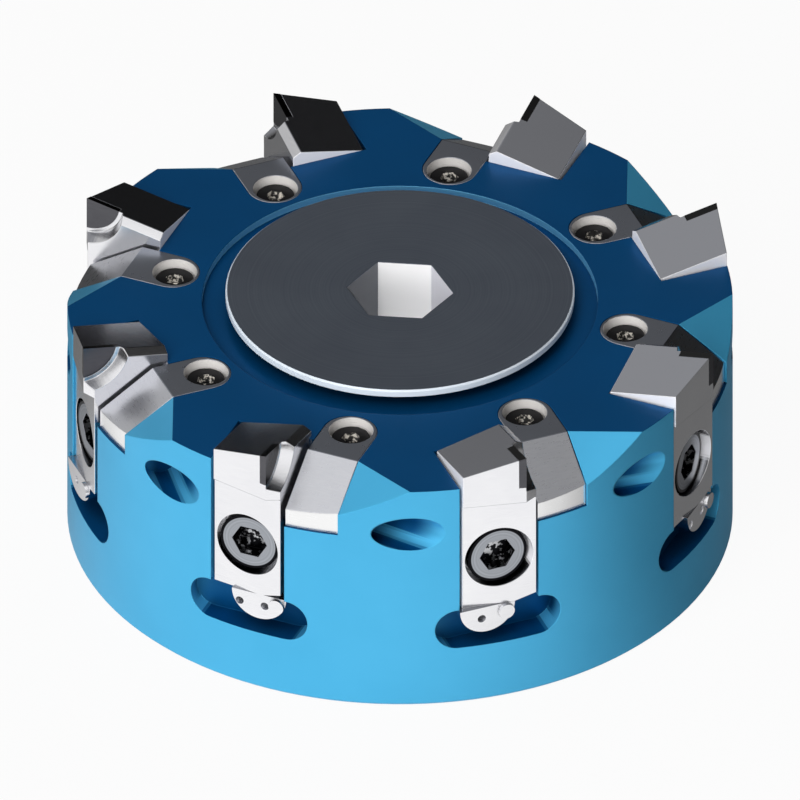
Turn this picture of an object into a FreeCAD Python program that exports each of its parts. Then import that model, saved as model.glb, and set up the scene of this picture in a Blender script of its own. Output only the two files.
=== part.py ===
import FreeCAD, Part
import os
import re
import Sketcher
from FreeCAD import Vector

# Face mill with eight adjustable diamond-tipped cartridges.
# Origin: centre of the back face. +Z points to the cutting face. Millimetres and degrees.
# The cutter turns anticlockwise seen from the cutting face. In a station's own frame +X points outwards along the
# rake face, which is radial, and the station leads towards +Y.

SIZES = {
    # How far a cut runs past the face that it opens, and past the rim
    "cut_over": 1,
    "rim_margin": 10,
    # Body
    "cutting_diameter": 125,
    "tip_overhang": 1.5,
    "body_height": 48,
    "rim_chamfer": 0.6,
    "station_count": 8,
    "station_angle": -108.7,
    "bore_diameter": 40,
    "bore_chamfer": 1,
    "relief_diameter": 41,
    "relief_start": 20,
    "relief_height": 4,
    "key_width": 16.4,
    "key_depth": 9,
    "key_reach": 44,
    "key_angle": 18.7,
    "head_seat": 29,
    "face_recess_diameter": 72.6,
    "face_recess_depth": 1.4,
    # Arbor screw
    "head_diameter": 54,
    "head_clearance": 0.5,
    "collar_height": 2.5,
    "neck_diameter": 50,
    "flange_diameter": 64,
    "flange_height": 1.4,
    "flange_rise": 2.3,
    "flange_chamfer": 0.3,
    "shank_diameter": 20,
    "shank_length": 8.5,
    "shank_chamfer": 1.5,
    "key_flats": 17,
    "key_socket_depth": 12.8,
    "coolant_bore": 7,
    "screw_turn": -1.2,
    # Cartridge
    "pocket_depth": 14.2,
    "cartridge_trail": 11.5,
    "cartridge_lead": 2.4,
    "foot_drop": 27.2,
    "pocket_gap": 0.6,
    "foot_gap": 0.3,
    "tip_rise": 5.5,
    "side_relief": 12.5,
    "axial_relief": 12.6,
    "dish": 10.7,
    "rake_land": 0.8,
    "rake_bevel": 30,
    "shank_relief": 7.5,
    "relief_step_drop": 4.4,
    "scoop_radius": 7.3,
    "scoop_flare": 20,
    "foot_bevel_width": 4,
    "foot_bevel_height": 1.3,
    # Diamond tip
    "tip_radius": 6.5,
    "tip_thickness": 1.3,
    # Cartridge screw
    "clamp_drop": 16.8,
    "clamp_seat_depth": 5.6,
    "clamp_counterbore": 12.8,
    "clamp_head": 11.6,
    "clamp_head_height": 4.1,
    "clamp_thread": 8,
    "clamp_clearance": 1,
    "clamp_reach": 24.5,
    "clamp_socket": 6,
    "clamp_socket_depth": 2.6,
    "thread_gap": 0.1,
    "drill_gap": 1,
    # Chip deflector
    "deflector_width": 10,
    "deflector_height": 10.4,
    "deflector_nose_depth": 19,
    "deflector_setback": 0.5,
    "deflector_gap": 0.1,
    "slope_depth": 11,
    "slope_angle": 33,
    # Deflector screw
    "deflector_screw_depth": 19.5,
    "deflector_counterbore": 8.2,
    "deflector_seat_drop": 4.8,
    "deflector_head": 7,
    "deflector_head_height": 3.2,
    "deflector_thread": 4,
    "deflector_clearance": 0.5,
    "deflector_screw_bite": 8,
    "deflector_socket": 3,
    "deflector_socket_depth": 1.8,
    # Gullet in the rim, ahead of the deflector
    "gullet_slope": 33.9,
    "gullet_turn": 22.6,
    "gullet_length": 22,
    # Adjuster and its window
    "window_length": 24,
    "window_height": 8.4,
    "window_depth": 5,
    "adjuster_radius": 5.4,
    "adjuster_throw": 2.4,
    "adjuster_setback": 0.4,
    "pivot_drop": 2.7,
    "pivot_diameter": 5,
    "pivot_length": 6,
    "pivot_gap": 0.1,
    "spanner_hole": 1.6,
    "spanner_hole_depth": 2,
    "spanner_half_pitch": 2.5,
    "spanner_throw": 1.04,
    "spanner_drop": 2.4,
    "lug_diameter": 3,
    "lug_height": 0.7,
    "lug_along": 3.6,
    "lug_drop": 1.6,
    # Slanted hole in the side between two stations
    "side_hole_diameter": 7.2,
    "side_hole_angle": 25.2,
    "side_hole_drop": 9.5,
    "side_hole_slant": 32.5,
    "side_hole_depth": 9,
    "side_hole_clear": 8,
}

doc = FreeCAD.newDocument("FaceMill")


def make_sheet():
    sheet = doc.addObject("Spreadsheet::Sheet", "Sizes")
    for row, (alias, size) in enumerate(SIZES.items(), start=1):
        sheet.set(f"A{row}", alias)
        sheet.set(f"B{row}", str(size))
        sheet.setAlias(f"B{row}", alias)
    doc.recompute()
    return sheet


sheet = make_sheet()


def sized(formula):
    # Puts the sheet's name before each alias of a formula.
    return re.sub(r"[a-z_]+", lambda word: f"Sizes.{word[0]}" if word[0] in SIZES else word[0], formula)


def value(formula):
    return float(sheet.evalExpression(sized(formula)))


def new_body(name, turn="0"):
    body = doc.addObject("PartDesign::Body", name)
    body.Label = name
    body.AllowCompound = True
    body.setExpression("Placement", sized(f"placement(vector(0; 0; 0); rotation({turn}; 0; 0))"))
    return body


def origin_feature(body, role):
    return next(feature for feature in body.Origin.OriginFeatures if feature.Role == role)


def new_sketch(body, name, role, where="0; 0; 0", turned="0; 0; 0"):
    sketch = body.newObject("Sketcher::SketchObject", name)
    sketch.AttachmentSupport = [(origin_feature(body, role), "")]
    sketch.MapMode = "FlatFace"
    sketch.setExpression("AttachmentOffset", sized(f"placement(vector({where}); rotation({turned}))"))
    return sketch


def hold(sketch, kind, geometry, point, formula):
    # Ties one coordinate of a point to a formula, measured from the sketch's origin.
    if formula == "0":
        axis = -2 if kind == "DistanceX" else -1
        sketch.addConstraint(Sketcher.Constraint("PointOnObject", geometry, point, axis))
        return
    number = sketch.addConstraint(Sketcher.Constraint(kind, -1, 1, geometry, point, value(formula)))
    sketch.setExpression(f"Constraints[{number}]", sized(formula))


def polygon(sketch, corners):
    first = sketch.GeometryCount
    points = [Vector(value(across), value(up), 0) for across, up in corners]
    count = len(corners)
    for index in range(count):
        sketch.addGeometry(Part.LineSegment(points[index], points[(index + 1) % count]), False)
    for index in range(count):
        following = first + (index + 1) % count
        sketch.addConstraint(Sketcher.Constraint("Coincident", first + index, 2, following, 1))
    for index, (across, up) in enumerate(corners):
        hold(sketch, "DistanceX", first + index, 1, across)
        hold(sketch, "DistanceY", first + index, 1, up)


def circle(sketch, across, up, diameter):
    centre = Vector(value(across), value(up), 0)
    index = sketch.addGeometry(Part.Circle(centre, Vector(0, 0, 1), value(diameter) / 2), False)
    hold(sketch, "DistanceX", index, 3, across)
    hold(sketch, "DistanceY", index, 3, up)
    number = sketch.addConstraint(Sketcher.Constraint("Diameter", index, value(diameter)))
    sketch.setExpression(f"Constraints[{number}]", sized(diameter))


def hexagon(sketch, flats):
    # Regular hexagon about the sketch's origin, with two corners on its X axis.
    corner = f"( {flats} ) / sqrt(3)"
    half = f"( {flats} ) / 2"
    polygon(sketch, [
        (corner, "0"),
        (f"{corner} / 2", half),
        (f"-1 * {corner} / 2", half),
        (f"-1 * {corner}", "0"),
        (f"-1 * {corner} / 2", f"-1 * {half}"),
        (f"{corner} / 2", f"-1 * {half}"),
    ])


def obround(sketch, start, end, level, width):
    # Slot along the sketch's X axis: two straight sides and a half circle about each end.
    near, far, middle, half = value(start), value(end), value(level), value(width) / 2
    near_top = Vector(near, middle + half, 0)
    near_low = Vector(near, middle - half, 0)
    near_end = Vector(near - half, middle, 0)
    far_top = Vector(far, middle + half, 0)
    far_low = Vector(far, middle - half, 0)
    far_end = Vector(far + half, middle, 0)
    top = sketch.addGeometry(Part.LineSegment(far_top, near_top))
    left = sketch.addGeometry(Part.Arc(near_top, near_end, near_low))
    low = sketch.addGeometry(Part.LineSegment(near_low, far_low))
    right = sketch.addGeometry(Part.Arc(far_low, far_end, far_top))
    for before, after in ((top, left), (left, low), (low, right), (right, top)):
        sketch.addConstraint(Sketcher.Constraint("Tangent", before, 2, after, 1))
    hold(sketch, "DistanceX", left, 3, start)
    hold(sketch, "DistanceY", left, 3, level)
    hold(sketch, "DistanceX", right, 3, end)
    hold(sketch, "DistanceY", right, 3, level)
    number = sketch.addConstraint(Sketcher.Constraint("Radius", left, half))
    sketch.setExpression(f"Constraints[{number}]", sized(f"( {width} ) / 2"))


def extrude(kind, body, sketch, name, length, backwards=False):
    # Without a length a pocket cuts through everything on its side of the sketch.
    feature = body.newObject(f"PartDesign::{kind}", name)
    feature.Profile = sketch
    feature.Reversed = backwards
    sketch.Visibility = False
    if length is None:
        feature.Type = "ThroughAll"
    else:
        feature.setExpression("Length", sized(length))
    return feature


def pad(body, sketch, name, length, backwards=False):
    return extrude("Pad", body, sketch, name, length, backwards)


def pocket(body, sketch, name, length=None, backwards=False):
    return extrude("Pocket", body, sketch, name, length, backwards)


def turned(body, sketch, name, axis):
    feature = body.newObject("PartDesign::Revolution", name)
    feature.Profile = sketch
    feature.ReferenceAxis = (sketch, [axis])
    feature.Angle = 360
    return feature


def around(body, features, name, count="station_count"):
    # Repeats features evenly about the cutter's axis.
    ring = body.newObject("PartDesign::PolarPattern", name)
    ring.Originals = features
    ring.Axis = (origin_feature(body, "Z_Axis"), [""])
    ring.Angle = 360
    ring.setExpression("Occurrences", sized(count))
    body.Tip = ring
    return ring


RIM = "( cutting_diameter / 2 - tip_overhang )"
POCKET_BACK = f"( {RIM} - pocket_depth )"
CLAMP_SEAT = f"( {RIM} - clamp_seat_depth )"
CLAMP_TIP = f"( {RIM} - clamp_reach )"
DEFLECTOR_NOSE = f"( {RIM} - deflector_nose_depth )"
DEFLECTOR_REACH = f"( {RIM} - deflector_setback )"
SLOPE_START = f"( {RIM} - slope_depth )"
DEFLECTOR_SCREW = f"( {RIM} - deflector_screw_depth )"
WINDOW_FLOOR = f"( {RIM} - window_depth )"
ADJUSTER_FACE = f"( {RIM} - adjuster_setback )"
FOOT = "( body_height - foot_drop )"
CLAMP_LEVEL = "( body_height - clamp_drop )"
DEFLECTOR_FLOOR = "( body_height - deflector_height )"
CARTRIDGE_MIDDLE = "( ( cartridge_lead - cartridge_trail ) / 2 )"
DEFLECTOR_SIDE = "( cartridge_lead + pocket_gap )"
DEFLECTOR_MIDDLE = f"( {DEFLECTOR_SIDE} + deflector_width / 2 )"
DEFLECTOR_WALL = f"( {DEFLECTOR_SIDE} + deflector_width + deflector_gap )"
OUTSIDE = "( cutting_diameter / 2 + rim_margin )"
TIP_X = "( cutting_diameter / 2 )"
TIP_Z = "( body_height + tip_rise )"
CUTTING_CORNER = f"{TIP_X}; 0; {TIP_Z}"
PIVOT_LEVEL = f"( {FOOT} - pivot_drop )"
FLANGE_TOP = "( body_height + flange_rise )"
FIRST_TURN = "station_angle"
PAST_TRAIL = "( -1 * cartridge_trail - cut_over )"
PAST_LEAD = "( cartridge_lead + cut_over )"


def station_turn(number):
    return f"station_angle + {number} * 360 / station_count"


def flank_x(side):
    # Outer face of a cartridge, which falls back behind the cutting edge by the side relief.
    return f"{TIP_X} + {side} * tan(side_relief * 1 deg)"


def shank_x(side):
    # Outer face of a cartridge below its head, flush with the rim beside the rake.
    return f"{RIM} + {side} * tan(shank_relief * 1 deg)"


def make_blank(body):
    profile = new_sketch(body, "TurnedProfile", "XZ_Plane")
    rim = RIM
    bore = "bore_diameter / 2"
    relief = "relief_diameter / 2"
    relief_end = "relief_start + relief_height"
    head = "head_diameter / 2 + head_clearance"
    recess = "face_recess_diameter / 2"
    recess_floor = "body_height - face_recess_depth"
    polygon(profile, [
        (f"{bore} + bore_chamfer", "0"),
        (f"{rim} - rim_chamfer", "0"),
        (rim, "rim_chamfer"),
        (rim, "body_height"),
        (recess, "body_height"),
        (recess, recess_floor),
        (head, recess_floor),
        (head, "head_seat"),
        (bore, "head_seat"),
        (bore, relief_end),
        (relief, relief_end),
        (relief, "relief_start"),
        (bore, "relief_start"),
        (bore, "bore_chamfer"),
    ])
    turned(body, profile, "TurnedBlank", "V_Axis")


def cut_drive_slot(body):
    slot = new_sketch(body, "DriveSlotOutline", "XY_Plane", turned="key_angle; 0; 0")
    reach = "key_reach - key_width / 2"
    obround(slot, f"-1 * ( {reach} )", reach, "0", "key_width")
    pocket(body, slot, "DriveSlot", "key_depth", backwards=True)


def cut_cartridge_pocket(body):
    outline = new_sketch(body, "CartridgePocketOutline", "YZ_Plane", f"0; 0; {POCKET_BACK}")
    back = "-1 * ( cartridge_trail + pocket_gap )"
    floor = f"{FOOT} - foot_gap"
    polygon(outline, [
        (back, floor),
        (DEFLECTOR_SIDE, floor),
        (DEFLECTOR_SIDE, "body_height + cut_over"),
        (back, "body_height + cut_over"),
    ])
    return pocket(body, outline, "CartridgePocket", backwards=True)


def cut_clamp_hole(body):
    outline = new_sketch(body, "ClampHoleOutline", "YZ_Plane", f"0; 0; {POCKET_BACK}")
    circle(outline, CARTRIDGE_MIDDLE, CLAMP_LEVEL, "clamp_thread + thread_gap")
    return pocket(body, outline, "ClampHole", f"{POCKET_BACK} - {CLAMP_TIP} + drill_gap")


def cut_deflector_slot(body):
    outline = new_sketch(body, "DeflectorSlotOutline", "XY_Plane", f"0; 0; {DEFLECTOR_FLOOR}")
    obround(outline, DEFLECTOR_NOSE, OUTSIDE, DEFLECTOR_MIDDLE, "deflector_width + 2 * deflector_gap")
    return pocket(body, outline, "DeflectorSlot", backwards=True)


def cut_deflector_hole(body):
    outline = new_sketch(body, "DeflectorHoleOutline", "XY_Plane", f"0; 0; {DEFLECTOR_FLOOR}")
    circle(outline, DEFLECTOR_SCREW, DEFLECTOR_MIDDLE, "deflector_thread + thread_gap")
    return pocket(body, outline, "DeflectorHole", "deflector_screw_bite + drill_gap")


def cut_gullet(body):
    # A flat facet that starts beside the deflector's slope and runs out at the rim.
    facet = new_sketch(
        body, "GulletFacet", "XY_Plane",
        f"{SLOPE_START}; {DEFLECTOR_WALL}; body_height", "-1 * gullet_turn; gullet_slope; 0")
    polygon(facet, [
        ("0", "-1 * cut_over"),
        ("gullet_length", "-1 * cut_over"),
        ("gullet_length", "gullet_length"),
        ("0", "gullet_length"),
    ])
    return pocket(body, facet, "Gullet", backwards=True)


def cut_window(body):
    outline = new_sketch(body, "WindowOutline", "YZ_Plane", f"0; 0; {WINDOW_FLOOR}")
    reach = "( window_length - window_height ) / 2"
    level = f"{FOOT} - window_height / 2"
    obround(outline, f"{CARTRIDGE_MIDDLE} - {reach}", f"{CARTRIDGE_MIDDLE} + {reach}", level, "window_height")
    return pocket(body, outline, "AdjusterWindow", backwards=True)


def cut_pivot_hole(body):
    outline = new_sketch(body, "PivotHoleOutline", "YZ_Plane", f"0; 0; {WINDOW_FLOOR}")
    circle(outline, CARTRIDGE_MIDDLE, PIVOT_LEVEL, "pivot_diameter + pivot_gap")
    return pocket(body, outline, "PivotHole", "pivot_length + drill_gap")


def cut_side_hole(body):
    heading = "( side_hole_angle + 90 - side_hole_slant )"
    rim = RIM
    across = f"{rim} * sin(side_hole_angle * 1 deg) + side_hole_clear * sin({heading} * 1 deg)"
    outward = f"{rim} * cos(side_hole_angle * 1 deg) + side_hole_clear * cos({heading} * 1 deg)"
    where = f"{across}; body_height - side_hole_drop; {outward}"
    outline = new_sketch(body, "SideHoleOutline", "YZ_Plane", where, f"0; {heading}; 0")
    circle(outline, "0", "0", "side_hole_diameter")
    return pocket(body, outline, "SideHole", "side_hole_clear + side_hole_depth")


def make_cutter_body():
    body = new_body("body", FIRST_TURN)
    make_blank(body)
    cut_drive_slot(body)
    cuts = [
        cut_cartridge_pocket(body),
        cut_clamp_hole(body),
        cut_deflector_slot(body),
        cut_deflector_hole(body),
        cut_gullet(body),
        cut_window(body),
        cut_pivot_hole(body),
        cut_side_hole(body),
    ]
    around(body, cuts, "Stations")
    return body


def make_arbor_screw():
    # Its wide flange stands clear of the cutting face, and a bore runs up through it into the key socket.
    body = new_body("arbor_screw", "screw_turn")
    profile = new_sketch(body, "ScrewProfile", "XZ_Plane")
    shank = "shank_diameter / 2"
    shank_end = "head_seat - shank_length"
    head = "head_diameter / 2"
    neck = "neck_diameter / 2"
    flange = "flange_diameter / 2"
    flange_base = f"{FLANGE_TOP} - flange_height"
    bore = "coolant_bore / 2"
    polygon(profile, [
        (bore, FLANGE_TOP),
        (bore, shank_end),
        (f"{shank} - shank_chamfer", shank_end),
        (shank, f"{shank_end} + shank_chamfer"),
        (shank, "head_seat"),
        (head, "head_seat"),
        (head, "head_seat + collar_height"),
        (neck, "head_seat + collar_height"),
        (neck, flange_base),
        (flange, flange_base),
        (flange, f"{FLANGE_TOP} - flange_chamfer"),
        (f"{flange} - flange_chamfer", FLANGE_TOP),
    ])
    turned(body, profile, "TurnedScrew", "V_Axis")
    socket = new_sketch(body, "SocketOutline", "XY_Plane", f"0; 0; {FLANGE_TOP} - key_socket_depth")
    hexagon(socket, "key_flats")
    pocket(body, socket, "KeySocket", backwards=True)
    return body


def cut_above(body, name, where, fall):
    # A ground face through the given point, which falls towards the cutter's axis by the dish.
    plane = new_sketch(body, f"{name}Plane", "XY_Plane", where, f"0; -1 * dish; {fall}")
    circle(plane, "0", "0", "cutting_diameter")
    pocket(body, plane, name, backwards=True)


def make_cartridge(number):
    body = new_body(f"cartridge_{number + 1}", station_turn(number))
    trail = "-1 * cartridge_trail"
    plan = new_sketch(body, "BarOutline", "XY_Plane", f"0; 0; {FOOT}")
    polygon(plan, [
        (POCKET_BACK, trail),
        (flank_x(trail), trail),
        (TIP_X, "0"),
        (shank_x("cartridge_lead"), "cartridge_lead"),
        (POCKET_BACK, "cartridge_lead"),
    ])
    pad(body, plan, "Bar", "foot_drop + 2 * tip_rise")
    cut_above(body, "TopRelief", CUTTING_CORNER, "axial_relief")
    # The top runs on past the rake face by a narrow land, and then falls to the leading side.
    rise = "rake_land * tan(axial_relief * 1 deg) / cos(dish * 1 deg)"
    cut_above(body, "RakeBevel", f"{TIP_X}; rake_land; {TIP_Z} + {rise}", "-1 * rake_bevel")

    # Below the ground head the outer face follows the rim of the body.
    shank = new_sketch(body, "ShankFace", "XY_Plane", "0; 0; body_height - relief_step_drop")
    polygon(shank, [
        (shank_x(PAST_TRAIL), PAST_TRAIL),
        (OUTSIDE, PAST_TRAIL),
        (OUTSIDE, PAST_LEAD),
        (shank_x(PAST_LEAD), PAST_LEAD),
    ])
    pocket(body, shank, "ShankRelief")

    # A round scoop, which flares towards the leading side, bares the rake face round the cutting corner.
    scoop = new_sketch(body, "ScoopArc", "XZ_Plane")
    circle(scoop, TIP_X, TIP_Z, "2 * scoop_radius")
    cut = pocket(body, scoop, "ChipScoop", "cartridge_lead + cut_over")
    cut.setExpression("TaperAngle", sized("scoop_flare"))
    seat = new_sketch(body, "TipSeatArc", "XZ_Plane")
    circle(seat, TIP_X, TIP_Z, "2 * tip_radius")
    pocket(body, seat, "TipSeat", "tip_thickness", backwards=True)

    bore = new_sketch(body, "ClampSeatOutline", "YZ_Plane", f"0; 0; {CLAMP_SEAT}")
    circle(bore, CARTRIDGE_MIDDLE, CLAMP_LEVEL, "clamp_counterbore")
    pocket(body, bore, "ClampCounterbore", backwards=True)
    hole = new_sketch(body, "ClampHoleOutline", "YZ_Plane", f"0; 0; {CLAMP_SEAT}")
    circle(hole, CARTRIDGE_MIDDLE, CLAMP_LEVEL, "clamp_thread + clamp_clearance")
    pocket(body, hole, "ClampHole")

    bevel = new_sketch(body, "FootBevelOutline", "YZ_Plane")
    polygon(bevel, [
        ("cartridge_lead - foot_bevel_width", FOOT),
        (PAST_LEAD, FOOT),
        (PAST_LEAD, f"{FOOT} + foot_bevel_height"),
        ("cartridge_lead", f"{FOOT} + foot_bevel_height"),
    ])
    pocket(body, bevel, "FootBevel", backwards=True)
    return body


def make_tip(number):
    # Quarter-round diamond plate let into the rake face at the cutting corner.
    body = new_body(f"pcd_tip_{number + 1}", station_turn(number))
    arc = new_sketch(body, "TipArc", "XZ_Plane")
    circle(arc, TIP_X, TIP_Z, "2 * tip_radius")
    pad(body, arc, "Plate", "tip_thickness")
    cut_above(body, "TopRelief", CUTTING_CORNER, "axial_relief")
    flank = new_sketch(body, "FlankOutline", "XY_Plane", f"0; 0; {TIP_Z} - 2 * tip_radius")
    behind = "-1 * ( tip_thickness + cut_over )"
    polygon(flank, [
        (flank_x(behind), behind),
        (OUTSIDE, behind),
        (OUTSIDE, "cut_over"),
        (flank_x("cut_over"), "cut_over"),
    ])
    pocket(body, flank, "Flank", backwards=True)
    return body


def make_deflector(number):
    body = new_body(f"chip_deflector_{number + 1}", station_turn(number))
    plan = new_sketch(body, "BlockOutline", "XY_Plane", f"0; 0; {DEFLECTOR_FLOOR}")
    obround(plan, DEFLECTOR_NOSE, OUTSIDE, DEFLECTOR_MIDDLE, "deflector_width")
    pad(body, plan, "Block", "deflector_height")
    end = new_sketch(body, "TurnedEnd", "XY_Plane")
    circle(end, "0", "0", f"2 * {DEFLECTOR_REACH}")
    circle(end, "0", "0", f"4 * {DEFLECTOR_REACH}")
    pocket(body, end, "EndFace", backwards=True)
    slope = new_sketch(body, "SlopeOutline", "XZ_Plane")
    drop = f"( {OUTSIDE} - {SLOPE_START} ) * tan(slope_angle * 1 deg)"
    polygon(slope, [
        (SLOPE_START, "body_height"),
        (OUTSIDE, f"body_height - {drop}"),
        (OUTSIDE, "body_height + cut_over"),
        (SLOPE_START, "body_height + cut_over"),
    ])
    pocket(body, slope, "Slope")
    seat_level = "body_height - deflector_seat_drop"
    seat = new_sketch(body, "SeatOutline", "XY_Plane", f"0; 0; {seat_level}")
    circle(seat, DEFLECTOR_SCREW, DEFLECTOR_MIDDLE, "deflector_counterbore")
    pocket(body, seat, "Counterbore", backwards=True)
    hole = new_sketch(body, "HoleOutline", "XY_Plane", f"0; 0; {seat_level}")
    circle(hole, DEFLECTOR_SCREW, DEFLECTOR_MIDDLE, "deflector_thread + deflector_clearance")
    pocket(body, hole, "ScrewHole")
    return body


def make_adjuster(number):
    # Eccentric with a half-round head under the cartridge's foot; neighbours are turned opposite ways.
    side = 1 if number % 2 == 0 else -1
    body = new_body(f"adjuster_{number + 1}", station_turn(number))
    middle = f"( {CARTRIDGE_MIDDLE} + {side} * adjuster_throw )"
    head = new_sketch(body, "HeadOutline", "YZ_Plane", f"0; 0; {WINDOW_FLOOR}")
    circle(head, middle, FOOT, "2 * adjuster_radius")
    pad(body, head, "Head", f"{ADJUSTER_FACE} - {WINDOW_FLOOR}")
    flat = new_sketch(body, "FlatOutline", "YZ_Plane", f"0; 0; {WINDOW_FLOOR}")
    polygon(flat, [
        (f"{middle} - 2 * adjuster_radius", FOOT),
        (f"{middle} + 2 * adjuster_radius", FOOT),
        (f"{middle} + 2 * adjuster_radius", f"{FOOT} + 2 * adjuster_radius"),
        (f"{middle} - 2 * adjuster_radius", f"{FOOT} + 2 * adjuster_radius"),
    ])
    pocket(body, flat, "Flat", backwards=True)
    pivot = new_sketch(body, "PivotOutline", "YZ_Plane", f"0; 0; {WINDOW_FLOOR}")
    circle(pivot, CARTRIDGE_MIDDLE, PIVOT_LEVEL, "pivot_diameter")
    pad(body, pivot, "Pivot", "pivot_length", backwards=True)
    lug = new_sketch(body, "LugOutline", "YZ_Plane", f"0; 0; {ADJUSTER_FACE}")
    circle(lug, f"{middle} + lug_along", f"{FOOT} - lug_drop", "lug_diameter")
    pad(body, lug, "Lug", "lug_height")
    spanner_level = f"{FOOT} - spanner_drop"
    spanner_middle = f"{CARTRIDGE_MIDDLE} + {side} * spanner_throw"
    for name, sign in (("SpannerHoleA", "-"), ("SpannerHoleB", "+")):
        hole = new_sketch(body, f"{name}Outline", "YZ_Plane", f"0; 0; {ADJUSTER_FACE}")
        circle(hole, f"{spanner_middle} {sign} spanner_half_pitch", spanner_level, "spanner_hole")
        pocket(body, hole, name, "spanner_hole_depth")
    return body


def make_clamp_screws():
    # One clamping screw for each cartridge, lying along the station's radius.
    body = new_body("cartridge_screws", FIRST_TURN)
    profile = new_sketch(body, "ScrewProfile", "XZ_Plane", f"0; {CLAMP_LEVEL}; -1 * {CARTRIDGE_MIDDLE}")
    thread = "clamp_thread / 2"
    head = "clamp_head / 2"
    head_top = f"{CLAMP_SEAT} + clamp_head_height"
    polygon(profile, [
        (CLAMP_TIP, "0"),
        (CLAMP_TIP, thread),
        (CLAMP_SEAT, thread),
        (CLAMP_SEAT, head),
        (head_top, head),
        (head_top, "0"),
    ])
    screw = turned(body, profile, "Screw", "H_Axis")
    where = f"{CARTRIDGE_MIDDLE}; {CLAMP_LEVEL}; {head_top} - clamp_socket_depth"
    socket = new_sketch(body, "SocketOutline", "YZ_Plane", where)
    hexagon(socket, "clamp_socket")
    cut = pocket(body, socket, "Socket", backwards=True)
    around(body, [screw, cut], "Screws")
    return body


def make_deflector_screws():
    # One small screw for each chip deflector, parallel to the cutter's axis.
    body = new_body("deflector_screws", FIRST_TURN)
    where = f"{DEFLECTOR_SCREW}; 0; -1 * {DEFLECTOR_MIDDLE}"
    profile = new_sketch(body, "ScrewProfile", "XZ_Plane", where)
    thread = "deflector_thread / 2"
    head = "deflector_head / 2"
    seat = "body_height - deflector_seat_drop"
    head_top = f"{seat} + deflector_head_height"
    tip = f"{DEFLECTOR_FLOOR} - deflector_screw_bite"
    polygon(profile, [
        ("0", tip),
        (thread, tip),
        (thread, seat),
        (head, seat),
        (head, head_top),
        ("0", head_top),
    ])
    screw = turned(body, profile, "Screw", "V_Axis")
    where = f"{DEFLECTOR_SCREW}; {DEFLECTOR_MIDDLE}; {head_top} - deflector_socket_depth"
    socket = new_sketch(body, "SocketOutline", "XY_Plane", where)
    hexagon(socket, "deflector_socket")
    cut = pocket(body, socket, "Socket", backwards=True)
    around(body, [screw, cut], "Screws")
    return body


def check(parts):
    for item in doc.Objects:
        if "Invalid" in item.State or "Error" in item.State:
            raise RuntimeError(f"{item.Name} did not compute: {item.State}")
        if item.TypeId == "PartDesign::Pocket" and item.BaseFeature is not None:
            if item.Shape.Volume > item.BaseFeature.Shape.Volume - 0.1:
                raise RuntimeError(f"{item.Name} of {item.getParentGeoFeatureGroup().Label} cuts nothing")
    for part in parts:
        if part.Shape.isNull() or not part.Shape.isValid():
            raise RuntimeError(f"{part.Label} has no valid shape")


def main():
    parts = [make_cutter_body(), make_arbor_screw()]
    for number in range(SIZES["station_count"]):
        parts.append(make_cartridge(number))
        parts.append(make_tip(number))
        parts.append(make_deflector(number))
        parts.append(make_adjuster(number))
    parts.append(make_clamp_screws())
    parts.append(make_deflector_screws())
    doc.recompute()
    check(parts)
    os.makedirs("parts", exist_ok=True)
    for part in parts:
        part.Shape.exportStep(f"parts/{part.Label}.step")
        print(part.Label, len(part.Shape.Solids), round(part.Shape.Volume, 1))


main()
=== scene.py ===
import math

import bmesh
import bpy
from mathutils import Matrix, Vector


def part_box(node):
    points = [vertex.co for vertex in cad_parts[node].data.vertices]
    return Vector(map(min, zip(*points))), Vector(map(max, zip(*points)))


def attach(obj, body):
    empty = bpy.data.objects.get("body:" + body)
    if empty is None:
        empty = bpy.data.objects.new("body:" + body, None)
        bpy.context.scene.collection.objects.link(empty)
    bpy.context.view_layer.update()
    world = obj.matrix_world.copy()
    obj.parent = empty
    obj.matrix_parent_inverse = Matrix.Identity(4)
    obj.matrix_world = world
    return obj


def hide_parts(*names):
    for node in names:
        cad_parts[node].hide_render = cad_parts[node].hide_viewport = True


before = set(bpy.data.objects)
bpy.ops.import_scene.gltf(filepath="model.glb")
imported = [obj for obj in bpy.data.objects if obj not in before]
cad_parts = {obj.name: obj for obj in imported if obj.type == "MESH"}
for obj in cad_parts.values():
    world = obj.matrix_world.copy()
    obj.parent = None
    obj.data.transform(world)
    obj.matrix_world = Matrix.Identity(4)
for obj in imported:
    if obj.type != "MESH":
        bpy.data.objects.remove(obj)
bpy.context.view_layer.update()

# Face mill with eight adjustable diamond-tipped cartridges, standing on its back face. Metres, +Z up.

MM = 0.001
STATIONS = 8
STATION_TURN = 2 * math.pi / STATIONS
STATION_ANGLE = math.radians(-108.7)

# Driving sizes of the pieces that are dressed here
BODY_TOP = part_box("body")[1].z
RIM_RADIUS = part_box("body")[1].x
FLANGE_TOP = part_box("arbor_screw")[1].z
FLANGE_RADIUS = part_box("arbor_screw")[1].x
RECESS_RADIUS = 36.3 * MM
SOCKET_RADIUS = 10.2 * MM
CARTRIDGE_MIDDLE = -4.55 * MM
HEAD_SEAM = BODY_TOP - 4.4 * MM
CLAMP_LEVEL = BODY_TOP - 16.8 * MM
CLAMP_FACE_RADIUS = 5.1 * MM
CLAMP_SOCKET_RADIUS = 3.7 * MM
CLAMP_FACE = 59.5 * MM
SMALL_SCREW_OUT = 41.5 * MM
SMALL_SCREW_ALONG = 8 * MM
SMALL_SOCKET_RADIUS = 1.3 * MM
SMALL_SOCKET_CORNER = 1.9 * MM
SMALL_BORE_RADIUS = 4.1 * MM

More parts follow.
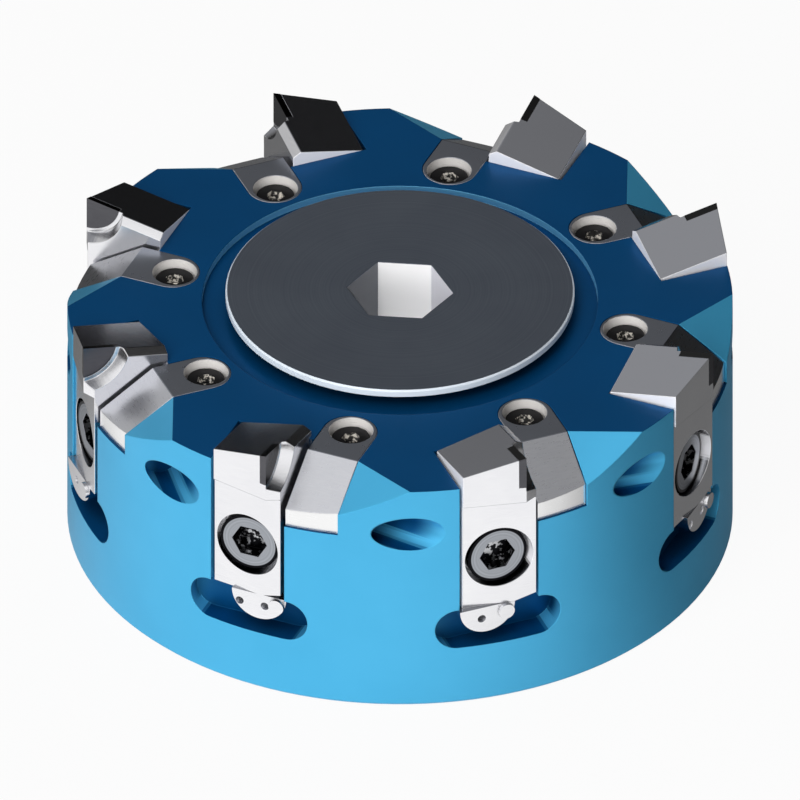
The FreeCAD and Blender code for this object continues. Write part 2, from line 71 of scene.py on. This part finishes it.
# Edges that are rounded off in the mesh, and those that are only shaded so
CARTRIDGE_EDGE = 0.12 * MM
DEFLECTOR_EDGE = 0.12 * MM
ADJUSTER_EDGE = 0.1 * MM
CLAMP_SCREW_EDGE = 0.3 * MM
SMALL_SCREW_EDGE = 0.25 * MM
BODY_SHADED_EDGE = 0.3 * MM
FLANGE_SHADED_EDGE = 0.15 * MM
SAME_POINT = 0.0005 * MM
SAME_PLANE = math.radians(1)
SHARP_ANGLE = math.radians(28)
CREASE_ANGLE = math.radians(60)

RIM_BLUE = (0.07, 0.43, 0.72)
RIM_BLUE_LIGHT = (0.08, 0.46, 0.76)
# Painted light on the recess's wall, and painted shade in deeper blues on the body's upward faces and holes
RECESS_LIT_BLUE = (0.2, 0.62, 0.95)
FACE_SHADE_BLUE = (0.001, 0.076, 0.225)
FACE_SHADE_BLUE_LIGHT = (0.001, 0.084, 0.25)
HOLE_SHADE_BLUE = (0.001, 0.038, 0.105)
FLANGE_GREY = (0.21, 0.24, 0.3)
FLANGE_GREY_LIGHT = (0.26, 0.3, 0.36)
# Painted highlight round the arbor screw's flange, and painted light and shade on its socket's walls
FLANGE_EDGE_HIGHLIGHT = (0.7, 0.77, 0.84)
SOCKET_LIT = (0.97, 0.97, 0.97)
SOCKET_SHADED = (0.13, 0.14, 0.16)
SOCKET_HALF_LIT = (0.62, 0.62, 0.68)
# Painted light on the cartridge heads' flanks, and a painted shadow line below each head
HEAD_FLANK_LIGHT = (0.93, 0.93, 0.97)
SEAM_SHADOW_GREY = (0.22, 0.23, 0.26)
# Painted light on the deflector blocks' outer ends and on the walls of their counterbores
BLOCK_END_LIGHT = (0.98, 0.98, 0.98)
BORE_LIGHT_CREAM = (0.9, 0.87, 0.84)
CLAMP_GREY = (0.33, 0.35, 0.38)
CLAMP_GREY_LIGHT = (0.42, 0.44, 0.48)
# Painted shade in the clamping screws' sockets, painted highlights on it, and a painted shadow round the
# heads
CLAMP_SOCKET_SHADE = (0.01, 0.01, 0.012)
CLAMP_GLINT = (0.6, 0.61, 0.63)
CLAMP_EDGE_SHADOW = (0.008, 0.008, 0.01)
SMALL_BLACK = (0.02, 0.02, 0.022)
SMALL_SOCKET = (0.03, 0.03, 0.03)
# Painted highlights in the small screws' sockets
SMALL_GLINT = (0.95, 0.9, 0.82)

# Ground steels: pale and dark lines, painted shade of upward faces, roughness, reach of the narrow gaps and
# their painted tint, light in the cartridge and deflector steels and shade in the adjuster and diamond plate
BRIGHT_LIGHT = (0.93, 0.93, 0.95)
BRIGHT_DARK = (0.85, 0.85, 0.88)
# Painted shade on upward faces
BRIGHT_TOP_SHADE = (0.47, 0.48, 0.52)
BRIGHT_ROUGHNESS = 0.22
# Painted shade in the narrow gaps and holes of the adjusters and diamond plates
GAP_SHADE_BLACK = (0.03, 0.032, 0.036)
GROUND_STEELS = {
    "bright_ground_steel": (
        BRIGHT_LIGHT, BRIGHT_DARK, BRIGHT_TOP_SHADE, BRIGHT_ROUGHNESS, 0.7 * MM, (0.85, 0.85, 0.88)),
    "adjuster_ground_steel": (
        BRIGHT_LIGHT, BRIGHT_DARK, BRIGHT_TOP_SHADE, BRIGHT_ROUGHNESS, 1.2 * MM, GAP_SHADE_BLACK),
    "grey_ground_steel": (
        (0.78, 0.79, 0.83), (0.7, 0.71, 0.76), (0.33, 0.35, 0.4), 0.28, 0.7 * MM, (0.8, 0.8, 0.84)),
    "diamond_plate": (
        (0.12, 0.12, 0.13), (0.08, 0.08, 0.09), (0.03, 0.03, 0.03), 0.2, 0.3 * MM, GAP_SHADE_BLACK),
}

# Textures, in features per metre, and the depths that they are cut to
SATIN_GRAIN = 5200
FEED_LINES = (30, 30, 9000)
BODY_CLOUD = 40
SATIN_DEPTH = 0.015 * MM
GRINDING_LINES = (400, 400, 5000)
STEEL_CLOUD = 90
GROUND_DEPTH = 0.006 * MM
FLANGE_RINGS = 2600.0
FLANGE_CLOUD = 60
CLAMP_RINGS = 3000.0
CLAMP_GLINTS = 900
SMALL_GLINTS = 1200
SMALL_GRAIN = 2500
TURNED_DEPTH = 0.004 * MM

# Where a tint starts and where it is full. By the upward part of the direction that a face looks to
SHADED_TOP_FACING = (0.86, 0.97)
STEEP_FACING = (0.7, 0.5)
GROUND_SHADED_TOP = (0.86, 0.93)
GROUND_WALL = (0.5, 0.3)
BORE_WALL = (0.3, 0.1)
SMALL_SOCKET_WALL = (0.6, 0.3)
# By the part of that direction outwards from the tool's axis, along the rim, or along X
HEAD_INNER_SIDE = (-0.3, -0.6)
HEAD_TRAILING_SIDE = (-0.5, -0.8)
HEAD_OUTER_SIDE = (0.6, 0.8)
BLOCK_OUTER_SIDE = (0.7, 0.85)
SOCKET_RIGHT_SIDE = (0.5, 0.8)
SOCKET_LEFT_SIDE = (-0.5, -0.8)
# By the distance from the recess's wall, and from the seam
RECESS_WALL = (0.6 * MM, 0.3 * MM)
BEYOND_RECESS = (0.3 * MM, 0.6 * MM)
SEAM_SHADOW_WIDTH = (0.14 * MM, 0.05 * MM)
# By how open a place is, and by a texture
OPEN_FACE = (0.2, 0.8)
OPEN_STEEL = (0.3, 0.75)
CLAMP_GLINT_SPOTS = (0.52, 0.6)
HOLE_REACH = 6 * MM

# Gloss, the strength of the fine relief, and the samples of the edge and openness nodes
ANODISED_METALLIC = 0.6
ANODISED_SPECULAR = 0.2
ANODISED_ROUGHNESS = (0.34, 0.5)
FLANGE_ROUGHNESS = (0.3, 0.42)
CLAMP_ROUGHNESS = 0.3
SMALL_SCREW_ROUGHNESS = 0.32
PALE_METALLIC = 0.2
SMALL_SOCKET_METALLIC = 0.3
ARBOR_SOCKET_METALLIC = 0.1
SATIN_STRENGTH = 0.25
GROUND_STRENGTH = 0.15
TURNED_STRENGTH = 0.2
SHADED_EDGE_SAMPLES = 6
OPENNESS_SAMPLES = 8

# The studio round the tool, in strengths where 1 is white
FLOOR_GLOW = 0.94
WHITE_SHEET = 1.0
WORLD_LIGHT = 0.09
BACK_DARK = 0.015
BACK_LIGHT = 0.5
FRONT_LIGHT = 1.0
FRONT_RIGHT = 0.35
SHEET_SHADE = 0.15
# Where it changes: by direction in the world, and by place on the sheet that the floor mirrors
FRONT_WAY = (0.15, -0.25)
LEFT_AND_UP_WAY = (0.42, 0.95)
RIGHT_WAY = (0.1, 0.45)
SHEET_LEAN = 0.4
SHEET_FRONT = (0.005, -0.075)
SHEET_END = (0.3, 0.15)
FLOOR_SIZE = 6
FLOOR_DROP = 0.02 * MM
FLOOR_GREY = (0.6, 0.6, 0.6, 1)
FLOOR_ROUGHNESS = 0.9

# Lamps: turn and rise in degrees, distance and size in metres, power in watts
LAMPS = {
    "key": (-108, 18, 1.2, 1.2, 18),
    "top_shade": (-112, 55, 1.3, 0.5, 7),
    "fill": (155, 40, 1.3, 0.9, 0.8),
    "back": (65, 20, 1.3, 0.9, 6),
}

# The photograph's view: parallel projection from an isometric height
CAMERA_TURN = math.radians(-85.5)
CAMERA_RISE = math.radians(35.264)
CAMERA_DISTANCE = 0.7
PHOTO_WIDTH = 800
PIXELS_PER_METRE = 5455
PHOTO_CENTRE_DROP = 18.28 * MM


def view_direction(turn, rise):
    return Vector((math.cos(turn) * math.cos(rise), math.sin(turn) * math.cos(rise), math.sin(rise)))


def make_camera():
    data = bpy.data.cameras.new("camera")
    data.type = "ORTHO"
    data.ortho_scale = PHOTO_WIDTH / PIXELS_PER_METRE
    camera = bpy.data.objects.new("camera", data)
    bpy.context.scene.collection.objects.link(camera)
    towards = view_direction(CAMERA_TURN, CAMERA_RISE)
    up = view_direction(CAMERA_TURN + math.pi, math.pi / 2 - CAMERA_RISE)
    target = Vector((0, 0, BODY_TOP)) - up * PHOTO_CENTRE_DROP
    camera.location = target + towards * CAMERA_DISTANCE
    camera.rotation_euler = towards.to_track_quat("Z", "Y").to_euler()
    bpy.context.scene.camera = camera


class Nodes:
    """Short calls for building a material's node tree."""

    def __init__(self, owner):
        owner.use_nodes = True
        self.material = owner
        self.tree = owner.node_tree
        self.shader = self.tree.nodes.get("Principled BSDF")

    def add(self, kind, **settings):
        node = self.tree.nodes.new(f"ShaderNode{kind}")
        for name, setting in settings.items():
            if name in node.inputs.keys():
                node.inputs[name].default_value = setting
            else:
                setattr(node, name, setting)
        return node

    def link(self, output, target):
        self.tree.links.new(output, target)

    def feed(self, number, target):
        if isinstance(number, (int, float)):
            target.default_value = number
        else:
            self.link(number, target)

    def place(self, scale=(1, 1, 1)):
        source = self.add("TexCoord")
        mapping = self.add("Mapping")
        mapping.inputs["Scale"].default_value = scale
        self.link(source.outputs["Object"], mapping.inputs["Vector"])
        return mapping.outputs["Vector"]

    def where(self):
        # The place as X, Y and Z.
        return self.split(self.add("TexCoord").outputs["Object"])

    def facing(self):
        # The side that the face looks to, as X, Y and Z.
        return self.split(self.add("NewGeometry").outputs["True Normal"])

    def noise(self, vector, scale, detail=4.0, roughness=0.6):
        texture = self.add("TexNoise", Scale=scale, Detail=detail, Roughness=roughness)
        self.link(vector, texture.inputs["Vector"])
        return texture.outputs["Fac"]

    def ramp(self, fac, stops):
        node = self.add("ValToRGB")
        elements = node.color_ramp.elements
        while len(elements) < len(stops):
            elements.new(0.5)
        for element, (place, colour) in zip(elements, stops):
            element.position = place
            element.color = (*colour, 1)
        self.link(fac, node.inputs["Fac"])
        return node.outputs["Color"]

    def spread(self, fac, low, high):
        node = self.add("MapRange")
        self.feed(low, node.inputs["To Min"])
        self.feed(high, node.inputs["To Max"])
        self.link(fac, node.inputs["Value"])
        return node.outputs["Result"]

    def bump(self, height, distance, strength=1.0, before=None):
        node = self.add("Bump", Strength=strength, Distance=distance)
        self.link(height, node.inputs["Height"])
        if before is not None:
            self.link(before, node.inputs["Normal"])
        return node.outputs["Normal"]

    def soft_edges(self, radius):
        return self.add("Bevel", samples=SHADED_EDGE_SAMPLES, Radius=radius).outputs["Normal"]

    def mix(self, fac, first, second):
        node = self.add("Mix", data_type="RGBA")
        self.link(fac, node.inputs[0])
        for target, colour in ((node.inputs[6], first), (node.inputs[7], second)):
            if isinstance(colour, tuple):
                target.default_value = (*colour, 1)
            else:
                self.link(colour, target)
        return node.outputs[2]

    def between(self, number, start, stop):
        # 0 at start and 1 at stop, with a soft change between them.
        node = self.add("MapRange", interpolation_type="SMOOTHSTEP")
        node.inputs["From Min"].default_value = min(start, stop)
        node.inputs["From Max"].default_value = max(start, stop)
        node.inputs["To Min"].default_value = 0.0 if start < stop else 1.0
        node.inputs["To Max"].default_value = 1.0 if start < stop else 0.0
        self.link(number, node.inputs["Value"])
        return node.outputs["Result"]

    def maths(self, operation, first, second=None, third=None):
        node = self.add("Math", operation=operation)
        for target, number in zip(node.inputs, (first, second, third)):
            if number is not None:
                self.feed(number, target)
        return node.outputs[0]

    def product(self, first, *others):
        for number in others:
            first = self.maths("MULTIPLY", first, number)
        return first

    def blend(self, first, second, share):
        # The first number, with a share of the second.
        return self.maths("ADD", self.product(first, 1 - share), self.product(second, share))

    def split(self, vector):
        node = self.add("SeparateXYZ")
        self.link(vector, node.inputs[0])
        return node.outputs

    def openness(self, reach):
        # 1 on a free face, and less in a gap, a hole or a corner.
        return self.add("AmbientOcclusion", samples=OPENNESS_SAMPLES, Distance=reach).outputs["AO"]

    def station_place(self):
        # The place in the frame of the nearest station: outwards, along the rim and up.
        place = self.where()
        turn = self.maths("ARCTAN2", place["Y"], place["X"])
        steps = self.maths("DIVIDE", self.maths("SUBTRACT", turn, STATION_ANGLE), STATION_TURN)
        offset = self.maths("SUBTRACT", steps, self.maths("ROUND", steps))
        radius = self.from_axis()
        angle = self.product(offset, STATION_TURN)
        outwards = self.product(radius, self.maths("COSINE", angle))
        along = self.product(radius, self.maths("SINE", angle))
        return outwards, along, place["Z"]

    def station_facing(self):
        # Where the face looks, as seen from the tool's axis: outwards, and along the rim to the next station.
        place = self.where()
        facing = self.facing()
        radius = self.from_axis()
        outwards = self.maths("MULTIPLY_ADD", facing["Y"], place["Y"], self.product(facing["X"], place["X"]))
        backwards = self.product(facing["X"], place["Y"], -1.0)
        along = self.maths("MULTIPLY_ADD", facing["Y"], place["X"], backwards)
        return self.maths("DIVIDE", outwards, radius), self.maths("DIVIDE", along, radius)

    def distance(self, first, first_centre, second, second_centre):
        across = self.maths("SUBTRACT", first, first_centre)
        along = self.maths("SUBTRACT", second, second_centre)
        squares = self.maths("ADD", self.product(across, across), self.product(along, along))
        return self.maths("SQRT", squares)

    def from_axis(self):
        # Distance from the tool's axis.
        place = self.where()
        return self.distance(place["X"], 0.0, place["Y"], 0.0)


def new_material(name):
    return Nodes(bpy.data.materials.new(name))


def anodised(name):
    # Satin anodising in the pale blue of the turned rim. Painted light makes the recess's wall paler, and
    # painted shade makes the milled upward faces and the inside of every hole deeper blue, darkest in holes
    # and corners.
    nodes = new_material(name)
    facing = nodes.facing()
    radius = nodes.from_axis()
    inside = nodes.between(radius, RIM_RADIUS - 0.15 * MM, RIM_RADIUS - 4 * MM)
    steep = nodes.between(facing["Z"], *STEEP_FACING)
    recess = nodes.maths("ABSOLUTE", nodes.maths("SUBTRACT", radius, RECESS_RADIUS))
    off_recess_wall = nodes.between(recess, *BEYOND_RECESS)
    upward = nodes.between(facing["Z"], *SHADED_TOP_FACING)
    sides = nodes.product(inside, steep, off_recess_wall)
    # Painted shade on the upward faces and on the walls inside the rim
    painted_shade = nodes.maths("MAXIMUM", upward, sides)
    cloud = nodes.noise(nodes.place(), BODY_CLOUD, 3)
    pale_tint = nodes.ramp(cloud, [(0.3, RIM_BLUE), (0.7, RIM_BLUE_LIGHT)])
    painted_shade_tint = nodes.ramp(cloud, [(0.3, FACE_SHADE_BLUE), (0.7, FACE_SHADE_BLUE_LIGHT)])
    # Painted shade, darker still where the openness test finds a hole or a corner
    painted_shade_tint = nodes.mix(nodes.between(nodes.openness(HOLE_REACH), *OPEN_FACE), HOLE_SHADE_BLUE, painted_shade_tint)
    # Painted light on the recess's wall
    ledge = nodes.product(steep, nodes.between(recess, *RECESS_WALL))
    pale_tint = nodes.mix(ledge, pale_tint, RECESS_LIT_BLUE)
    nodes.link(nodes.mix(painted_shade, pale_tint, painted_shade_tint), nodes.shader.inputs["Base Color"])
    nodes.shader.inputs["Metallic"].default_value = ANODISED_METALLIC
    nodes.shader.inputs["Specular IOR Level"].default_value = ANODISED_SPECULAR
    grain = nodes.noise(nodes.place(), SATIN_GRAIN, 2)
    feed = nodes.noise(nodes.place(FEED_LINES), 1, 2)
    surface = nodes.blend(grain, feed, 0.5)
    nodes.link(nodes.spread(surface, *ANODISED_ROUGHNESS), nodes.shader.inputs["Roughness"])
    normal = nodes.bump(surface, SATIN_DEPTH, SATIN_STRENGTH, nodes.soft_edges(BODY_SHADED_EDGE))
    nodes.link(normal, nodes.shader.inputs["Normal"])
    return nodes.material


def ground_steel(name, head=False, block=False):
    # Fine parallel lines over a faint cloud, with painted shade on top and a painted tint in narrow gaps:
    # pale and less metallic light in the cartridge and deflector steels, black shade in the others. The head
    # of a cartridge has paler flanks, painted light, and a thin painted shadow line below it. A deflector
    # block has a pale outer end and a bright turned counterbore, both painted light.
    light, dark, top_shade, rough, gaps, gap_painted_tint = GROUND_STEELS[name]
    nodes = new_material(name)
    scratch = nodes.noise(nodes.place(GRINDING_LINES), 1, 3, 0.7)
    cloud = nodes.noise(nodes.place(), STEEL_CLOUD, 2)
    shade = nodes.blend(scratch, cloud, 0.4)
    facing = nodes.facing()
    # Painted shade on upward faces
    upward = nodes.between(facing["Z"], *GROUND_SHADED_TOP)
    tint = nodes.mix(upward, nodes.ramp(shade, [(0.3, dark), (0.65, light)]), top_shade)
    # A painted tint in narrow gaps: light for the cartridge and deflector steels, shade for the others
    free = nodes.between(nodes.openness(gaps), *OPEN_STEEL)
    tint = nodes.mix(free, gap_painted_tint, tint)
    shine = nodes.spread(free, PALE_METALLIC, 1.0)
    wall = nodes.between(nodes.maths("ABSOLUTE", facing["Z"]), *GROUND_WALL)
    if head:
        # Painted light on the inner and trailing flanks, and a painted shadow line on the outer side below
        # the head
        outwards, along = nodes.station_facing()
        inner = nodes.between(outwards, *HEAD_INNER_SIDE)
        trailing = nodes.between(along, *HEAD_TRAILING_SIDE)
        flank = nodes.product(wall, nodes.maths("MAXIMUM", inner, trailing))
        level = nodes.maths("ABSOLUTE", nodes.maths("SUBTRACT", nodes.where()["Z"], HEAD_SEAM))
        seam_shadow = nodes.product(nodes.between(level, *SEAM_SHADOW_WIDTH), nodes.between(outwards, *HEAD_OUTER_SIDE))
        tint = nodes.mix(flank, nodes.mix(seam_shadow, tint, SEAM_SHADOW_GREY), HEAD_FLANK_LIGHT)
        shine = nodes.maths("MINIMUM", shine, nodes.spread(flank, 1.0, PALE_METALLIC))
    if block:
        # Painted light on the outer end and on the counterbore's wall
        faces_out, _ = nodes.station_facing()
        end = nodes.product(wall, nodes.between(faces_out, *BLOCK_OUTER_SIDE))
        tint = nodes.mix(end, tint, BLOCK_END_LIGHT)
        outwards, along, _ = nodes.station_place()
        near = nodes.distance(outwards, SMALL_SCREW_OUT, along, SMALL_SCREW_ALONG)
        upright = nodes.between(facing["Z"], *BORE_WALL)
        bore = nodes.product(upright, nodes.between(near, SMALL_BORE_RADIUS + 0.2 * MM, SMALL_BORE_RADIUS))
        tint = nodes.mix(bore, tint, BORE_LIGHT_CREAM)
        shine = nodes.maths("MINIMUM", shine, nodes.spread(bore, 1.0, PALE_METALLIC))
    nodes.link(shine, nodes.shader.inputs["Metallic"])
    nodes.link(tint, nodes.shader.inputs["Base Color"])
    nodes.link(nodes.spread(scratch, rough * 0.85, rough * 1.2), nodes.shader.inputs["Roughness"])
    nodes.link(nodes.bump(scratch, GROUND_DEPTH, GROUND_STRENGTH), nodes.shader.inputs["Normal"])
    return nodes.material


def clamp_screw_steel(name):
    # A grey flat face with a black painted shadow round its edge, and a socket painted black for shade, with
    # painted highlights on it.
    nodes = new_material(name)
    outwards, along, up = nodes.station_place()
    radius = nodes.distance(along, CARTRIDGE_MIDDLE, up, CLAMP_LEVEL)
    rings = nodes.add("TexNoise", noise_dimensions="1D", Scale=CLAMP_RINGS, Detail=2.0)
    nodes.link(radius, rings.inputs["W"])
    face = nodes.ramp(rings.outputs["Fac"], [(0.3, CLAMP_GREY), (0.7, CLAMP_GREY_LIGHT)])
    # Painted highlights on the socket's painted shade
    glints = nodes.between(nodes.noise(nodes.place(), CLAMP_GLINTS, 2), *CLAMP_GLINT_SPOTS)
    inside = nodes.mix(glints, CLAMP_SOCKET_SHADE, CLAMP_GLINT)
    sunk = nodes.between(outwards, CLAMP_FACE - 0.05 * MM, CLAMP_FACE - 0.15 * MM)
    middle = nodes.between(radius, CLAMP_SOCKET_RADIUS + 0.1 * MM, CLAMP_SOCKET_RADIUS)
    socket = nodes.product(sunk, middle)
    # Painted shadow round the head's edge
    edge = nodes.between(radius, CLAMP_FACE_RADIUS, CLAMP_FACE_RADIUS + 0.15 * MM)
    tint = nodes.mix(edge, nodes.mix(socket, face, inside), CLAMP_EDGE_SHADOW)
    nodes.link(tint, nodes.shader.inputs["Base Color"])
    nodes.shader.inputs["Metallic"].default_value = 1.0
    nodes.shader.inputs["Roughness"].default_value = CLAMP_ROUGHNESS
    normal = nodes.bump(rings.outputs["Fac"], TURNED_DEPTH, TURNED_STRENGTH)
    nodes.link(normal, nodes.shader.inputs["Normal"])
    return nodes.material


def small_screw_steel(name):
    # A blackened head, with painted highlights in its socket.
    nodes = new_material(name)
    outwards, along, _ = nodes.station_place()
    radius = nodes.distance(outwards, SMALL_SCREW_OUT, along, SMALL_SCREW_ALONG)
    # Painted highlights in the socket
    glints = nodes.ramp(nodes.noise(nodes.place(), SMALL_GLINTS, 2), [(0.48, SMALL_SOCKET), (0.58, SMALL_GLINT)])
    floor = nodes.between(radius, SMALL_SOCKET_RADIUS + 0.1 * MM, SMALL_SOCKET_RADIUS)
    within = nodes.between(radius, SMALL_SOCKET_CORNER + 0.1 * MM, SMALL_SOCKET_CORNER)
    walls = nodes.product(nodes.between(nodes.facing()["Z"], *SMALL_SOCKET_WALL), within)
    socket = nodes.maths("MAXIMUM", floor, walls)
    nodes.link(nodes.mix(socket, SMALL_BLACK, glints), nodes.shader.inputs["Base Color"])
    nodes.link(nodes.spread(socket, 1.0, SMALL_SOCKET_METALLIC), nodes.shader.inputs["Metallic"])
    nodes.shader.inputs["Roughness"].default_value = SMALL_SCREW_ROUGHNESS
    grain = nodes.noise(nodes.place(), SMALL_GRAIN, 2)
    nodes.link(nodes.bump(grain, TURNED_DEPTH, TURNED_STRENGTH), nodes.shader.inputs["Normal"])
    return nodes.material


def turned_steel(name):
    # The arbor screw: turned rings on the flange, a painted highlight round its edge, and a broached socket
    # with painted light on its walls and painted shade on two duller pairs of walls, darkest on those facing
    # +X.
    nodes = new_material(name)
    radius = nodes.from_axis()
    rings = nodes.add("TexNoise", noise_dimensions="1D", Scale=FLANGE_RINGS, Detail=3.0)
    nodes.link(radius, rings.inputs["W"])
    cloud = nodes.noise(nodes.place(), FLANGE_CLOUD, 2)
    shade = nodes.blend(rings.outputs["Fac"], cloud, 0.5)
    plain = nodes.ramp(shade, [(0.3, FLANGE_GREY), (0.7, FLANGE_GREY_LIGHT)])
    sunk = nodes.between(nodes.where()["Z"], FLANGE_TOP - 0.05 * MM, FLANGE_TOP - 0.15 * MM)
    socket = nodes.product(sunk, nodes.between(radius, SOCKET_RADIUS, SOCKET_RADIUS - 0.2 * MM))
    # Painted highlight round the flange's edge
    edge = nodes.between(radius, FLANGE_RADIUS - 0.35 * MM, FLANGE_RADIUS - 0.25 * MM)
    side = nodes.facing()["X"]
    # Painted light on the socket's walls, painted shade on those that face +X and less on those that face -X
    walls = nodes.mix(nodes.between(side, *SOCKET_RIGHT_SIDE), SOCKET_LIT, SOCKET_SHADED)
    walls = nodes.mix(nodes.between(side, *SOCKET_LEFT_SIDE), walls, SOCKET_HALF_LIT)
    tint = nodes.mix(socket, plain, walls)
    nodes.link(nodes.mix(edge, tint, FLANGE_EDGE_HIGHLIGHT), nodes.shader.inputs["Base Color"])
    bright = nodes.maths("MAXIMUM", socket, edge)
    nodes.link(nodes.spread(bright, 1.0, ARBOR_SOCKET_METALLIC), nodes.shader.inputs["Metallic"])
    nodes.link(nodes.spread(shade, *FLANGE_ROUGHNESS), nodes.shader.inputs["Roughness"])
    soft = nodes.soft_edges(FLANGE_SHADED_EDGE)
    normal = nodes.bump(rings.outputs["Fac"], TURNED_DEPTH, TURNED_STRENGTH, soft)
    nodes.link(normal, nodes.shader.inputs["Normal"])
    return nodes.material


def dress(node, material):
    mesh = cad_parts[node].data
    mesh.materials.clear()
    mesh.materials.append(material)


def soften(node, material, width):
    # A copy of the node whose sharp edges are rounded off, as a ground or stoned edge is.
    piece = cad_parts[node].copy()
    piece.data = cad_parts[node].data.copy()
    piece.name = f"{node}_finished"
    piece.parent = None
    bpy.context.scene.collection.objects.link(piece)
    piece.data.materials.clear()
    piece.data.materials.append(material)
    mesh = bmesh.new()
    mesh.from_mesh(piece.data)
    bmesh.ops.remove_doubles(mesh, verts=mesh.verts, dist=SAME_POINT)
    bmesh.ops.dissolve_limit(mesh, angle_limit=SAME_PLANE, verts=mesh.verts, edges=mesh.edges)
    sharp = [edge for edge in mesh.edges if edge.is_manifold and edge.calc_face_angle() > SHARP_ANGLE]
    bmesh.ops.bevel(
        mesh, geom=sharp, offset=width, offset_type="OFFSET", segments=2, profile=0.5, affect="EDGES",
        clamp_overlap=True)
    mesh.to_mesh(piece.data)
    mesh.free()
    for polygon in piece.data.polygons:
        polygon.use_smooth = True
    piece.data.set_sharp_from_angle(angle=CREASE_ANGLE)
    flat_faces = piece.modifiers.new("flat_faces", "WEIGHTED_NORMAL")
    flat_faces.keep_sharp = True
    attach(piece, "root")
    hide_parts(node)


def make_world():
    # The studio is white in front of the tool, grey above it and to the left, and dark to the right behind
    # it. Bright steel mirrors that, while the camera sees plain white.
    world = bpy.data.worlds.new("studio")
    bpy.context.scene.world = world
    nodes = Nodes(world)
    way = nodes.split(nodes.add("TexCoord").outputs["Generated"])
    front = nodes.between(way["Y"], *FRONT_WAY)
    left_up = nodes.between(nodes.maths("SUBTRACT", way["Z"], way["X"]), *LEFT_AND_UP_WAY)
    behind = nodes.spread(left_up, BACK_DARK, BACK_LIGHT)
    ahead = nodes.spread(nodes.between(way["X"], *RIGHT_WAY), FRONT_LIGHT, FRONT_RIGHT)
    mirrored = nodes.spread(front, behind, ahead)
    path = nodes.add("LightPath")
    lit = nodes.spread(path.outputs["Is Glossy Ray"], WORLD_LIGHT, mirrored)
    background = nodes.tree.nodes["Background"]
    background.inputs["Color"].default_value = (1, 1, 1, 1)
    nodes.link(nodes.spread(path.outputs["Is Camera Ray"], lit, 1.0), background.inputs["Strength"])


def make_lamp(name, turn, rise, distance, size, power):
    data = bpy.data.lights.new(name, "AREA")
    data.energy = power
    data.size = size
    lamp = bpy.data.objects.new(name, data)
    towards = view_direction(math.radians(turn), math.radians(rise))
    lamp.location = towards * distance
    lamp.rotation_euler = towards.to_track_quat("Z", "Y").to_euler()
    # Bright steel mirrors the studio and not the lamps.
    lamp.visible_glossy = False
    bpy.context.scene.collection.objects.link(lamp)


def make_floor():
    # White to the camera, with a faint shadow. Bright steel mirrors a sheet round the tool, white in front
    # and dark to the right behind it.
    bpy.ops.mesh.primitive_plane_add(size=FLOOR_SIZE, location=(0, 0, -FLOOR_DROP))
    floor = bpy.context.object
    floor.name = "floor"
    nodes = new_material("floor")
    nodes.shader.inputs["Base Color"].default_value = FLOOR_GREY
    nodes.shader.inputs["Roughness"].default_value = FLOOR_ROUGHNESS
    path = nodes.add("LightPath")
    mirrored = nodes.maths("MAXIMUM", path.outputs["Is Glossy Ray"], path.outputs["Is Transmission Ray"])
    place = nodes.where()
    lean = nodes.maths("ADD", place["Y"], nodes.product(place["X"], SHEET_LEAN))
    near = nodes.spread(nodes.between(lean, *SHEET_FRONT), SHEET_SHADE, WHITE_SHEET)
    sheet = nodes.spread(nodes.between(nodes.from_axis(), *SHEET_END), BACK_DARK, near)
    glow = nodes.add("Emission")
    nodes.link(nodes.spread(mirrored, 1.0, sheet), glow.inputs["Strength"])
    seen = nodes.product(path.outputs["Is Camera Ray"], FLOOR_GLOW)
    blend = nodes.add("MixShader")
    nodes.link(nodes.maths("MAXIMUM", seen, mirrored), blend.inputs[0])
    nodes.link(nodes.shader.outputs[0], blend.inputs[1])
    nodes.link(glow.outputs[0], blend.inputs[2])
    nodes.link(blend.outputs[0], nodes.tree.nodes["Material Output"].inputs["Surface"])
    floor.data.materials.append(nodes.material)


def main():
    make_camera()
    make_world()
    for name, setting in LAMPS.items():
        make_lamp(name, *setting)
    make_floor()
    dress("body", anodised("blue_anodised"))
    dress("arbor_screw", turned_steel("flange_steel"))
    cartridge = ground_steel("bright_ground_steel", head=True)
    adjuster = ground_steel("adjuster_ground_steel")
    deflector = ground_steel("grey_ground_steel", block=True)
    diamond = ground_steel("diamond_plate")
    for number in range(1, STATIONS + 1):
        soften(f"cartridge_{number}", cartridge, CARTRIDGE_EDGE)
        dress(f"pcd_tip_{number}", diamond)
        soften(f"chip_deflector_{number}", deflector, DEFLECTOR_EDGE)
        soften(f"adjuster_{number}", adjuster, ADJUSTER_EDGE)
    soften("cartridge_screws", clamp_screw_steel("screw_steel"), CLAMP_SCREW_EDGE)
    soften("deflector_screws", small_screw_steel("dark_screw_steel"), SMALL_SCREW_EDGE)
    bpy.context.scene.view_settings.view_transform = "Standard"


main()
